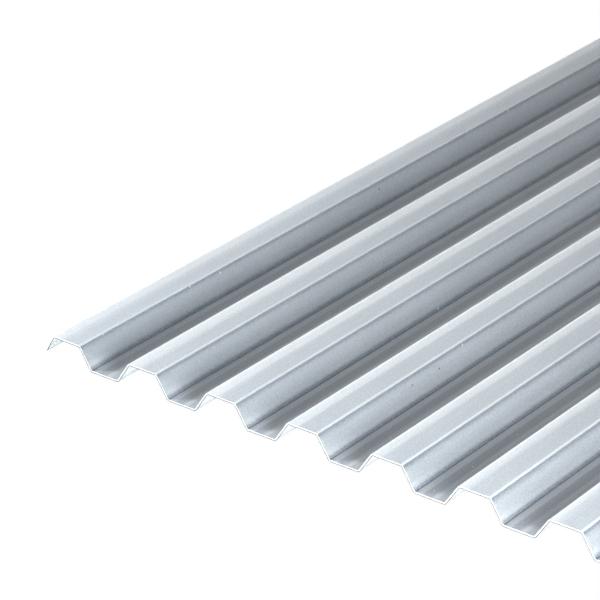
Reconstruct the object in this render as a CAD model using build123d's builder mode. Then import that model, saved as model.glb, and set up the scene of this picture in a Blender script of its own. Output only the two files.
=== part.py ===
import os

from build123d import *

# Trapezoidal roof sheet of translucent plastic, extruded and formed in one piece.
# X runs across the ribs, Y runs along them and Z is up.
# The origin is under the middle trough, halfway along the sheet, where the sheet rests.
# All sizes are in millimetres.

# Rib section, measured on the upper face from corner to corner, before the bends are rounded
rib_pitch = 70.0
rib_height = 18.0
crest_width = 25.0
trough_width = 23.5

# Wall of the sheet and the inner radius of each bend
sheet_thickness = 1.4
bend_radius = 1.5

# Side legs, the part flanks that overlap the next sheet
side_leg_run = 7.5
side_leg_drop = 13.0

# Sheet as sold
rib_count = 16
sheet_length = 2000.0

# The upper face is the outer side of a crest bend and the inner side of a trough bend
crest_bend_radius = bend_radius + sheet_thickness
trough_bend_radius = bend_radius

crest_half = crest_width / 2
trough_half = trough_width / 2
first_crest = -(rib_count - 1) * rib_pitch / 2
last_crest = -first_crest


def crest_corners(center):
    return [(center - crest_half, rib_height), (center + crest_half, rib_height)]


def trough_corners(center):
    return [(center - trough_half, sheet_thickness), (center + trough_half, sheet_thickness)]


# Corners of the upper face from the left leg's tip to the right leg's tip
leg_tip_height = rib_height - side_leg_drop
corners = [(first_crest - crest_half - side_leg_run, leg_tip_height)]
bends = []
for rib in range(rib_count):
    rib_center = first_crest + rib * rib_pitch
    corners += crest_corners(rib_center)
    bends += [crest_bend_radius, crest_bend_radius]
    if rib < rib_count - 1:
        corners += trough_corners(rib_center + rib_pitch / 2)
        bends += [trough_bend_radius, trough_bend_radius]
corners.append((last_crest + crest_half + side_leg_run, leg_tip_height))

# The section is the upper face's line, thickened downwards by one wall
with BuildPart() as roof_sheet:
    with BuildSketch(Plane.XZ) as section:
        with BuildLine() as upper_face:
            FilletPolyline(corners, radius=bends)
            offset(amount=sheet_thickness, side=Side.RIGHT)
        make_face()
    extrude(amount=sheet_length / 2, both=True)

roof_sheet.part.label = "roof_sheet"

os.makedirs("parts", exist_ok=True)
export_step(roof_sheet.part, "parts/roof_sheet.step")
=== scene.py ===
import math

import bpy
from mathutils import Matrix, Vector


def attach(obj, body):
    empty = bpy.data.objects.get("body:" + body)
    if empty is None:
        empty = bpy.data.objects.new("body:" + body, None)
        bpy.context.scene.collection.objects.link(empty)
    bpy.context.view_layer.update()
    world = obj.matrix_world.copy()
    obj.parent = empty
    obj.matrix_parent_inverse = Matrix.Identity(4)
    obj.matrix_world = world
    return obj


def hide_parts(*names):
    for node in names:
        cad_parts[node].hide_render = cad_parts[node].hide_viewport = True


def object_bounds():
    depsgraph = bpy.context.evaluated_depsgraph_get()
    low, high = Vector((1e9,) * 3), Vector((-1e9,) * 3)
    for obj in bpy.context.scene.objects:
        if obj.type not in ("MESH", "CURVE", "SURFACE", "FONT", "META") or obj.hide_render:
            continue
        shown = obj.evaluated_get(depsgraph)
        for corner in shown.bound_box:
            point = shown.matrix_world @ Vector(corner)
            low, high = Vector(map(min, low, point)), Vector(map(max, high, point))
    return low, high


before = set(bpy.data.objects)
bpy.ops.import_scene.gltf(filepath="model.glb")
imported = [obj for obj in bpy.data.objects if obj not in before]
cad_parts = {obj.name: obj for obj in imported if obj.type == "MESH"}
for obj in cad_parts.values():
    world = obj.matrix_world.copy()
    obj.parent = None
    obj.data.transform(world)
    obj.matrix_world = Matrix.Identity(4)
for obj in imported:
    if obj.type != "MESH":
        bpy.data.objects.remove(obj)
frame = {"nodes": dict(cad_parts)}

cadLow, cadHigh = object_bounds()
print("frame loaded:", ", ".join(frame["nodes"]))

mm = 0.001
white = (1, 1, 1, 1)


def hexToLinear(code):
    channels = [int(code[i:i + 2], 16) / 255 for i in (1, 3, 5)]
    linear = [c / 12.92 if c <= 0.04045 else ((c + 0.055) / 1.055) ** 2.4 for c in channels]
    return (*linear, 1)


# Each input of a node gets another node's output or a plain value
def addNode(tree, kind, inputs=None, **settings):
    node = tree.nodes.new(kind)
    for name, setting in settings.items():
        setattr(node, name, setting)
    for socket, given in (inputs or {}).items():
        if isinstance(given, bpy.types.NodeSocket):
            tree.links.new(given, node.inputs[socket])
        else:
            node.inputs[socket].default_value = given
    return node


def newMaterial(name):
    material = bpy.data.materials.new(name)
    material.use_nodes = True
    material.node_tree.nodes.clear()
    return material, material.node_tree


# The sheet's section on its upper face, corner to corner, as the CAD piece has it
sheet = {
    "ribPitch": 70 * mm,
    "crestWidth": 25 * mm,
    "troughWidth": 23.5 * mm,
    "wall": 1.4 * mm,
    "bendRadius": 1.5 * mm,         # inner side of every bend
    "legRun": 7.5 * mm,
    "legDrop": 13 * mm,
    "ribCount": 16,
    "lengthCuts": 40,               # so that no face is a long sliver
    "bendCuts": 6,
    "sharpFrom": 20,                # degrees between two faces
}

plastic = {
    "sentBack": ("#424B57", "#BABEC1"),         # darkest and palest light off its face
    "shoneThrough": ("#242729", "#90918D"),     # darkest and palest glow with light behind it
    "seenThrough": "#A5A6A7",                   # what it does to things seen through it
    "roughness": 0.14,
    "ior": 1.54,
    "glossTint": "#E4EAF0",         # the gloss is a little cool
    "grain": 1.3 * mm,              # real grain is finer, and this is as small as the picture shows
    "grainDepth": 0.02 * mm,
    "grainRoughness": 0.6,
    "dieLine": 1.6 * mm,            # streaks that the extruder's lips leave along the sheet
    "dieLineRun": 400 * mm,
    "cloud": 90 * mm,
    # Wobble of the painted light and shade beside the bends
    "paintedLineWave": 5 * mm,
    "paintedLineWobble": 0.5 * mm,
    "paintedLineRoughness": 0.8,
    "toneShares": (0.42, 0.1, 0.1, 1.0),        # of grain, streaks, clouds and the painted light and shade at the bends
    "toneShift": -0.31,             # brings their sum back between darkest and palest
}

# Tone across one pitch, from the middle of a trough (0) over the crest (0.5) to the next,
# the same on every rib. It is painted light and shade: painted highlights along the crest
# bends and a painted pale streak low on each flank, painted dark lines under the crest bends
# and at the foot of each flank, a painted step across the crest where the flank under it
# shows through, a painted shadow band across each trough, and crests painted lighter
# than flanks
paintedLightTones = (
    (0.000, 0.42), (0.020, 0.50), (0.045, 0.68), (0.075, 0.56), (0.085, 0.44), (0.290, 0.48),
    (0.306, 0.18), (0.316, 0.80), (0.326, 1.00), (0.345, 0.95), (0.356, 0.66), (0.448, 0.69),
    (0.458, 0.61), (0.640, 0.60), (0.659, 0.62), (0.665, 1.00), (0.684, 1.00), (0.688, 0.06),
    (0.695, 0.00), (0.703, 0.38), (0.713, 0.52), (0.780, 0.50), (0.800, 0.60), (0.812, 0.50),
    (0.820, 0.24), (0.832, 0.16), (0.840, 0.00), (0.846, 0.10), (0.852, 0.70), (0.860, 0.63),
    (0.908, 0.66), (0.932, 0.41),
)

dust = {
    "spacing": 30 * mm,
    "speck": 0.5 * mm,
    "pale": "#F4F6F7",
    "dark": "#3A3E42",
    "paleShare": 0.1,               # of all places where a speck could lie
    "darkShare": 0.06,
}


# Extruded sheet of translucent PVC, formed warm between rollers: a smooth satin skin that
# sends part of the light back, glows when it is lit from behind, and shows what is behind it
def extrudedPlastic():
    material, tree = newMaterial("extrudedTranslucentPvc")
    place = addNode(tree, "ShaderNodeTexCoord").outputs["Object"]

    # Fine grain, streaks along the sheet, and broad clouds in the pigment
    grain = addNode(tree, "ShaderNodeTexNoise",
                    {"Vector": place, "Scale": 1 / plastic["grain"], "Detail": 1,
                     "Roughness": plastic["grainRoughness"]}).outputs[0]
    acrossLine, alongLine = 1 / plastic["dieLine"], 1 / plastic["dieLineRun"]
    stretched = addNode(tree, "ShaderNodeMapping",
                        {"Vector": place, "Scale": (acrossLine, alongLine, acrossLine)}).outputs[0]
    streaks = addNode(tree, "ShaderNodeTexNoise",
                      {"Vector": stretched, "Scale": 1, "Detail": 2}).outputs[0]
    clouds = addNode(tree, "ShaderNodeTexNoise",
                     {"Vector": place, "Scale": 1 / plastic["cloud"], "Detail": 2}).outputs[0]

    # Painted light and shade beside the bends: how far across its pitch each place is, with a
    # little wobble along the sheet
    wobble = addNode(tree, "ShaderNodeTexNoise",
                     {"Vector": place, "Scale": 1 / plastic["paintedLineWave"], "Detail": 2,
                      "Roughness": plastic["paintedLineRoughness"]}).outputs[0]
    across = addNode(tree, "ShaderNodeSeparateXYZ", {0: place}).outputs["X"]
    swayed = addNode(tree, "ShaderNodeMath", {0: wobble, 1: plastic["paintedLineWobble"], 2: across},
                     operation="MULTIPLY_ADD").outputs[0]
    inPitches = addNode(tree, "ShaderNodeMath", {0: swayed, 1: sheet["ribPitch"]},
                        operation="DIVIDE").outputs[0]
    inOnePitch = addNode(tree, "ShaderNodeMath", {0: inPitches}, operation="FRACT").outputs[0]
    paintedLightRamp = addNode(tree, "ShaderNodeValToRGB", {0: inOnePitch})
    ramp = paintedLightRamp.color_ramp
    while len(ramp.elements) < len(paintedLightTones):
        ramp.elements.new(0.5)      # the next lines give it its place
    for stop, (position, level) in zip(ramp.elements, paintedLightTones):
        stop.position = position
        stop.color = (level, level, level, 1)

    # All of them together, the painted light and shade too, give one tone between the darkest
    # and the palest plastic
    tone = plastic["toneShift"]
    for pattern, share in zip((grain, streaks, clouds, paintedLightRamp.outputs[0]), plastic["toneShares"]):
        tone = addNode(tree, "ShaderNodeMath", {0: pattern, 1: share, 2: tone},
                       operation="MULTIPLY_ADD").outputs[0]
    tone.node.use_clamp = True
    tints = {}
    for name in ("sentBack", "shoneThrough"):
        darkest, palest = plastic[name]
        tints[name] = addNode(tree, "ShaderNodeMixRGB",
                              {0: tone, 1: hexToLinear(darkest), 2: hexToLinear(palest)}).outputs[0]

    relief = addNode(tree, "ShaderNodeBump",
                     {"Height": grain, "Distance": plastic["grainDepth"], "Strength": 1}).outputs[0]
    skin = addNode(tree, "ShaderNodeBsdfPrincipled",
                   {"Base Color": tints["sentBack"], "Normal": relief,
                    "Roughness": plastic["roughness"], "IOR": plastic["ior"],
                    "Specular Tint": hexToLinear(plastic["glossTint"])})
    glow = addNode(tree, "ShaderNodeBsdfTranslucent", {"Color": tints["shoneThrough"]})
    clear = addNode(tree, "ShaderNodeBsdfTransparent", {"Color": hexToLinear(plastic["seenThrough"])})
    body = addNode(tree, "ShaderNodeAddShader", {0: skin.outputs[0], 1: glow.outputs[0]})
    wall = addNode(tree, "ShaderNodeAddShader", {0: body.outputs[0], 1: clear.outputs[0]})

    # A few specks of dust lie on it, pale and dark
    spots = addNode(tree, "ShaderNodeTexVoronoi", {"Vector": place, "Scale": 1 / dust["spacing"]},
                    voronoi_dimensions="2D")
    onSpot = addNode(tree, "ShaderNodeMath",
                     {0: spots.outputs["Distance"], 1: dust["speck"] / dust["spacing"]},
                     operation="LESS_THAN").outputs[0]
    chance = addNode(tree, "ShaderNodeSeparateXYZ", {0: spots.outputs["Color"]}).outputs[0]
    isPale = addNode(tree, "ShaderNodeMath", {0: chance, 1: 1 - dust["paleShare"]},
                     operation="GREATER_THAN").outputs[0]
    isDark = addNode(tree, "ShaderNodeMath", {0: chance, 1: dust["darkShare"]},
                     operation="LESS_THAN").outputs[0]
    either = addNode(tree, "ShaderNodeMath", {0: isPale, 1: isDark}, operation="ADD").outputs[0]
    isSpeck = addNode(tree, "ShaderNodeMath", {0: onSpot, 1: either}, operation="MULTIPLY").outputs[0]
    speckTint = addNode(tree, "ShaderNodeMixRGB",
                        {0: isPale, 1: hexToLinear(dust["dark"]), 2: hexToLinear(dust["pale"])})
    speck = addNode(tree, "ShaderNodeBsdfDiffuse", {"Color": speckTint.outputs[0]})
    dusty = addNode(tree, "ShaderNodeMixShader",
                    {0: isSpeck, 1: wall.outputs[0], 2: speck.outputs[0]})
    addNode(tree, "ShaderNodeOutputMaterial", {"Surface": dusty.outputs[0]})
    return material


sawn = {
    # Pale as a matt sawn face is, and paler still as painted glow
    "tint": ("#E2E8EC", "#FAFCFD"),
    "roughness": 0.55,
    "tooth": 0.7 * mm,
    "toothHeight": 4.2 * mm,        # its marks stand upright across the cut
    "toothDepth": 0.04 * mm,
    "shadeBandWidth": 0.5 * mm,                # band along the underside of the cut, painted dark as shade
    # Darkest and palest of the painted shade along the underside of the cut
    "shadeBandTint": ("#101214", "#2B2E31"),
}


# The saw leaves a matt pale edge with fine tooth marks. It is painted paler than the faces too, as
# a painted glow of the light that runs inside the wall and comes out there, over a narrow band of
# painted shade along its underside
def sawnEdge(name, darkest, palest):
    material, tree = newMaterial(name)
    place = addNode(tree, "ShaderNodeTexCoord").outputs["Object"]
    acrossTooth, upTooth = 1 / sawn["tooth"], 1 / sawn["toothHeight"]
    stretched = addNode(tree, "ShaderNodeMapping",
                        {"Vector": place, "Scale": (acrossTooth, acrossTooth, upTooth)}).outputs[0]
    teeth = addNode(tree, "ShaderNodeTexNoise",
                    {"Vector": stretched, "Scale": 1, "Detail": 2}).outputs[0]
    tint = addNode(tree, "ShaderNodeMixRGB",
                   {0: teeth, 1: hexToLinear(darkest), 2: hexToLinear(palest)})
    relief = addNode(tree, "ShaderNodeBump",
                     {"Height": teeth, "Distance": sawn["toothDepth"], "Strength": 1})
    edge = addNode(tree, "ShaderNodeBsdfPrincipled",
                   {"Base Color": tint.outputs[0], "Normal": relief.outputs[0],
                    "Roughness": sawn["roughness"], "IOR": plastic["ior"]})
    addNode(tree, "ShaderNodeOutputMaterial", {"Surface": edge.outputs[0]})
    return material


def deselectAll():
    bpy.ops.object.select_all(action="DESELECT")


def selectEdges(piece, keep):
    bpy.ops.object.mode_set(mode="OBJECT")
    mesh = piece.data
    for part in (mesh.polygons, mesh.edges, mesh.vertices):
        part.foreach_set("select", [False] * len(part))
    for edge in mesh.edges:
        a, b = (mesh.vertices[i].co for i in edge.vertices)
        if keep(a, b):
            edge.select = True
            for i in edge.vertices:
                mesh.vertices[i].select = True
    bpy.ops.object.mode_set(mode="EDIT")
    bpy.ops.mesh.select_mode(type="EDGE")


# Places across the section, and the material slots of the finished sheet
crestTop = cadHigh.z
troughTop = sheet["wall"]
flankDrop = crestTop - troughTop
flankRun = (sheet["ribPitch"] - sheet["crestWidth"] - sheet["troughWidth"]) / 2
firstCorner = -(sheet["ribCount"] - 1) * sheet["ribPitch"] / 2 - sheet["crestWidth"] / 2
near = 0.01 * mm                    # two places closer than this are one
faceSlot, edgeSlot, shadeBandSlot = range(3)


def growPanel(piece, fromX, run, rise):
    selectEdges(piece, lambda a, b: abs(a.x - fromX) < near and abs(b.x - fromX) < near)
    bpy.ops.mesh.extrude_edges_move(TRANSFORM_OT_translate={"value": (run, 0, rise)})
    return fromX + run


def drawSection():
    # One crest panel, as long as the sheet, is the start
    deselectAll()
    bpy.ops.mesh.primitive_grid_add(x_subdivisions=1, y_subdivisions=sheet["lengthCuts"], size=1)
    piece = bpy.context.object
    piece.name = "roofSheet"
    bpy.ops.object.mode_set(mode="EDIT")
    bpy.ops.transform.resize(value=(sheet["crestWidth"], cadHigh.y - cadLow.y, 1))
    bpy.ops.transform.translate(value=(firstCorner + sheet["crestWidth"] / 2, 0, crestTop))

    # Falling flank, trough and rising flank finish one pitch of the section
    edge = firstCorner + sheet["crestWidth"]
    edge = growPanel(piece, edge, flankRun, -flankDrop)
    edge = growPanel(piece, edge, sheet["troughWidth"], 0)
    growPanel(piece, edge, flankRun, flankDrop)
    bpy.ops.object.mode_set(mode="OBJECT")

    # The pitch repeats across the sheet
    pitches = piece.modifiers.new("pitches", "ARRAY")
    pitches.use_relative_offset = False
    pitches.use_constant_offset = True
    pitches.constant_offset_displace = (sheet["ribPitch"], 0, 0)
    pitches.count = sheet["ribCount"] - 1
    pitches.use_merge_vertices = True
    pitches.merge_threshold = near
    bpy.ops.object.modifier_apply(modifier=pitches.name)

    # The last crest and the two side legs close the section
    edge = firstCorner + (sheet["ribCount"] - 1) * sheet["ribPitch"]
    edge = growPanel(piece, edge, sheet["crestWidth"], 0)
    growPanel(piece, edge, sheet["legRun"], -sheet["legDrop"])
    growPanel(piece, firstCorner, -sheet["legRun"], -sheet["legDrop"])
    print("section drawn:", sheet["ribCount"], "ribs")
    return piece


# Every bend is rounded, wider over a crest than inside a trough
def roundBends(piece):
    flankAngle = math.atan2(flankDrop, flankRun)
    legAngle = math.atan2(sheet["legDrop"], sheet["legRun"])
    crestRadius = sheet["bendRadius"] + sheet["wall"]
    outerBend = -firstCorner - near

    def bevel(height, radius, angle, keep):
        selectEdges(piece, lambda a, b: abs(a.z - height) < near and abs(b.z - height) < near
                    and abs(a.x - b.x) < near and keep(a.x))
        bpy.ops.mesh.bevel(offset_type="OFFSET", offset=radius * math.tan(angle / 2),
                           segments=sheet["bendCuts"], clamp_overlap=True)

    bevel(crestTop, crestRadius, flankAngle, lambda x: abs(x) < outerBend)
    bevel(crestTop, crestRadius, legAngle, lambda x: abs(x) > outerBend)
    bevel(troughTop, sheet["bendRadius"], flankAngle, lambda x: True)
    bpy.ops.mesh.select_all(action="SELECT")
    bpy.ops.mesh.normals_make_consistent(inside=False)
    bpy.ops.object.mode_set(mode="OBJECT")
    if sum(face.normal.z for face in piece.data.polygons) < 0:
        piece.data.flip_normals()


# The wall grows downwards, and its rim is the sawn edge
def thickenWall(piece):
    piece.data.materials.append(extrudedPlastic())
    piece.data.materials.append(sawnEdge("sawnPvcEdgeWithPaintedGlow", *sawn["tint"]))
    # The painted shade along the underside of each cut
    piece.data.materials.append(sawnEdge("paintedShadeUnderCut", *sawn["shadeBandTint"]))
    wall = piece.modifiers.new("wall", "SOLIDIFY")
    wall.thickness = sheet["wall"]
    wall.offset = -1
    wall.use_even_offset = True
    wall.material_offset_rim = edgeSlot
    bpy.ops.object.modifier_apply(modifier=wall.name)


# A narrow band along the underside of each cut edge is painted dark, as painted shade
def markShadeBand(piece):
    mesh = piece.data
    for part in (mesh.vertices, mesh.edges):
        part.foreach_set("select", [False] * len(part))
    mesh.polygons.foreach_set("select", [face.material_index == edgeSlot for face in mesh.polygons])
    bpy.ops.object.mode_set(mode="EDIT")
    bpy.ops.mesh.select_mode(type="FACE")
    bpy.ops.mesh.inset(thickness=sawn["shadeBandWidth"], depth=0)
    bpy.ops.mesh.select_all(action="INVERT")
    bpy.ops.object.mode_set(mode="OBJECT")
    upperFaces = [face for face in mesh.polygons
                  if face.material_index == faceSlot and face.normal.z > 0]
    upperCorners = {i for face in upperFaces for i in face.vertices}
    for face in mesh.polygons:
        if face.select and face.material_index == edgeSlot and upperCorners.isdisjoint(face.vertices):
            face.material_index = shadeBandSlot


def modelSheet():
    piece = drawSection()
    roundBends(piece)
    thickenWall(piece)
    markShadeBand(piece)
    deselectAll()
    piece.select_set(True)
    bpy.ops.object.shade_smooth_by_angle(angle=math.radians(sheet["sharpFrom"]))
    print("sheet modelled:", len(piece.data.polygons), "faces")
    return piece


studio = {
    "floorTint": "#828F9C",
    "floorSize": 60,                # metres
    "floorGap": 0.3 * mm,           # keeps the sheet's underside clear of the floor's plane
    "rollerMark": 3 * mm,
    "rollerDepth": 0.1 * mm,
    "roomTint": "#F9FDFF",          # weak light from all sides
    "roomStrength": 0.03,
    "lamps": {                      # place, aim, size, watts, spread in degrees
        "softLeft": ((-2.341, -1.878, 1.099), (-0.6, -1.15, 0), (0.4, 0.4), 9.6, 60),
        "frontLow": ((-0.5, -2.3, 0.6), (-0.4, -1.0, 0), (0.4, 0.4), 0.5, 60),
        "frontRight": ((0.3, -1.45, 0.2), (-0.25, -0.95, 0), (0.4, 0.25), 9, 180),
        "lowLeft": ((-1.4, -1.3, 0.35), (-0.3, -0.7, 0), (0.6, 0.6), 2, 180),
        "lowRight": ((1.0, -1.0, 0.3), (-0.3, -0.7, 0), (0.6, 0.6), 3.4, 180),
        "backRim": ((-0.3, 1.15, 1.85), (-0.3, -0.7, 0), (0.9, 0.6), 1.5, 180),
        "rearFill": ((0.3, 1.0, 1.6), (0.25, 0.85, 0), (0.8, 0.8), 3.2, 60),
    },
}


# White surroundings show to the camera, in reflections and through clear things, but light
# nothing. The caller says which of the camera's rays count
def whiteFor(tree, path, toCamera):
    straight = addNode(tree, "ShaderNodeMath", {0: toCamera, 1: path.outputs["Is Glossy Ray"]},
                       operation="MAXIMUM")
    through = addNode(tree, "ShaderNodeMath",
                      {0: path.outputs["Is Transmission Ray"], 1: path.outputs["Is Diffuse Ray"]},
                      operation="GREATER_THAN")
    either = addNode(tree, "ShaderNodeMath", {0: straight.outputs[0], 1: through.outputs[0]},
                     operation="MAXIMUM")
    return either.outputs[0]


# Matt painted floor: white where the camera looks straight at it, and with its own
# tint and the sheet's shadow where it is seen through the plastic
def layFloor():
    deselectAll()
    bpy.ops.mesh.primitive_plane_add(size=studio["floorSize"], location=(0, 0, -studio["floorGap"]))
    floor = bpy.context.object
    floor.name = "floor"
    material, tree = newMaterial("mattPaintedFloor")
    place = addNode(tree, "ShaderNodeTexCoord").outputs["Object"]
    rolled = addNode(tree, "ShaderNodeTexNoise",
                     {"Vector": place, "Scale": 1 / studio["rollerMark"], "Detail": 2})
    relief = addNode(tree, "ShaderNodeBump",
                     {"Height": rolled.outputs[0], "Distance": studio["rollerDepth"]})
    paint = addNode(tree, "ShaderNodeBsdfDiffuse",
                    {"Normal": relief.outputs[0], "Color": hexToLinear(studio["floorTint"])})
    backdrop = addNode(tree, "ShaderNodeEmission", {"Color": white, "Strength": 1})
    path = addNode(tree, "ShaderNodeLightPath")
    # Transparent Depth counts the clear faces that the ray has come through
    nothingBefore = addNode(tree, "ShaderNodeMath", {0: path.outputs["Transparent Depth"], 1: 0.5},
                            operation="LESS_THAN")
    seenStraight = addNode(tree, "ShaderNodeMath",
                           {0: path.outputs["Is Camera Ray"], 1: nothingBefore.outputs[0]},
                           operation="MULTIPLY")
    mix = addNode(tree, "ShaderNodeMixShader",
                  {0: whiteFor(tree, path, seenStraight.outputs[0]),
                   1: paint.outputs[0], 2: backdrop.outputs[0]})
    addNode(tree, "ShaderNodeOutputMaterial", {"Surface": mix.outputs[0]})
    floor.data.materials.append(material)
    print("floor laid")


def lightStudio():
    for name, (place, aim, size, watts, spread) in studio["lamps"].items():
        data = bpy.data.lights.new(name, "AREA")
        data.shape = "RECTANGLE"
        data.size, data.size_y = size
        data.energy = watts
        data.spread = math.radians(spread)
        lamp = bpy.data.objects.new(name, data)
        bpy.context.collection.objects.link(lamp)
        lamp.location = place
        lamp.rotation_euler = (Vector(aim) - Vector(place)).to_track_quat("-Z", "Y").to_euler()
        lamp.visible_camera = False
        lamp.visible_glossy = False
    world = bpy.data.worlds.new("studio")
    bpy.context.scene.world = world
    world.use_nodes = True
    tree = world.node_tree
    tree.nodes.clear()
    room = addNode(tree, "ShaderNodeBackground",
                   {"Color": hexToLinear(studio["roomTint"]), "Strength": studio["roomStrength"]})
    backdrop = addNode(tree, "ShaderNodeBackground", {"Color": white, "Strength": 1})
    path = addNode(tree, "ShaderNodeLightPath")
    mix = addNode(tree, "ShaderNodeMixShader",
                  {0: whiteFor(tree, path, path.outputs["Is Camera Ray"]),
                   1: room.outputs[0], 2: backdrop.outputs[0]})
    addNode(tree, "ShaderNodeOutputWorld", {"Surface": mix.outputs[0]})
    print("studio lit:", len(studio["lamps"]), "lamps")


shot = {
    "azimuth": 37.407,              # degrees
    "elevation": 26.512,
    "distance": 2.2379,             # metres
    "lookAt": (-0.43294, -0.84825, 0.018),
    "lens": 184.86,                 # millimetres
    "sensor": 36,
    "clip": (0.05, 200),
}


def setCamera():
    turn, tilt = math.radians(shot["azimuth"]), math.radians(shot["elevation"])
    back = Vector((math.sin(turn) * math.cos(tilt), -math.cos(turn) * math.cos(tilt), math.sin(tilt)))
    data = bpy.data.cameras.new("camera")
    data.lens = shot["lens"]
    data.sensor_width = shot["sensor"]
    data.clip_start, data.clip_end = shot["clip"]
    camera = bpy.data.objects.new("camera", data)
    bpy.context.collection.objects.link(camera)
    camera.location = Vector(shot["lookAt"]) + back * shot["distance"]
    camera.rotation_euler = (-back).to_track_quat("-Z", "Y").to_euler()
    bpy.context.scene.camera = camera
    print("camera set")


roofSheet = modelSheet()
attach(roofSheet, "root")
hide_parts("roof_sheet")
layFloor()
lightStudio()
setCamera()
bpy.context.scene.view_settings.view_transform = "Standard"
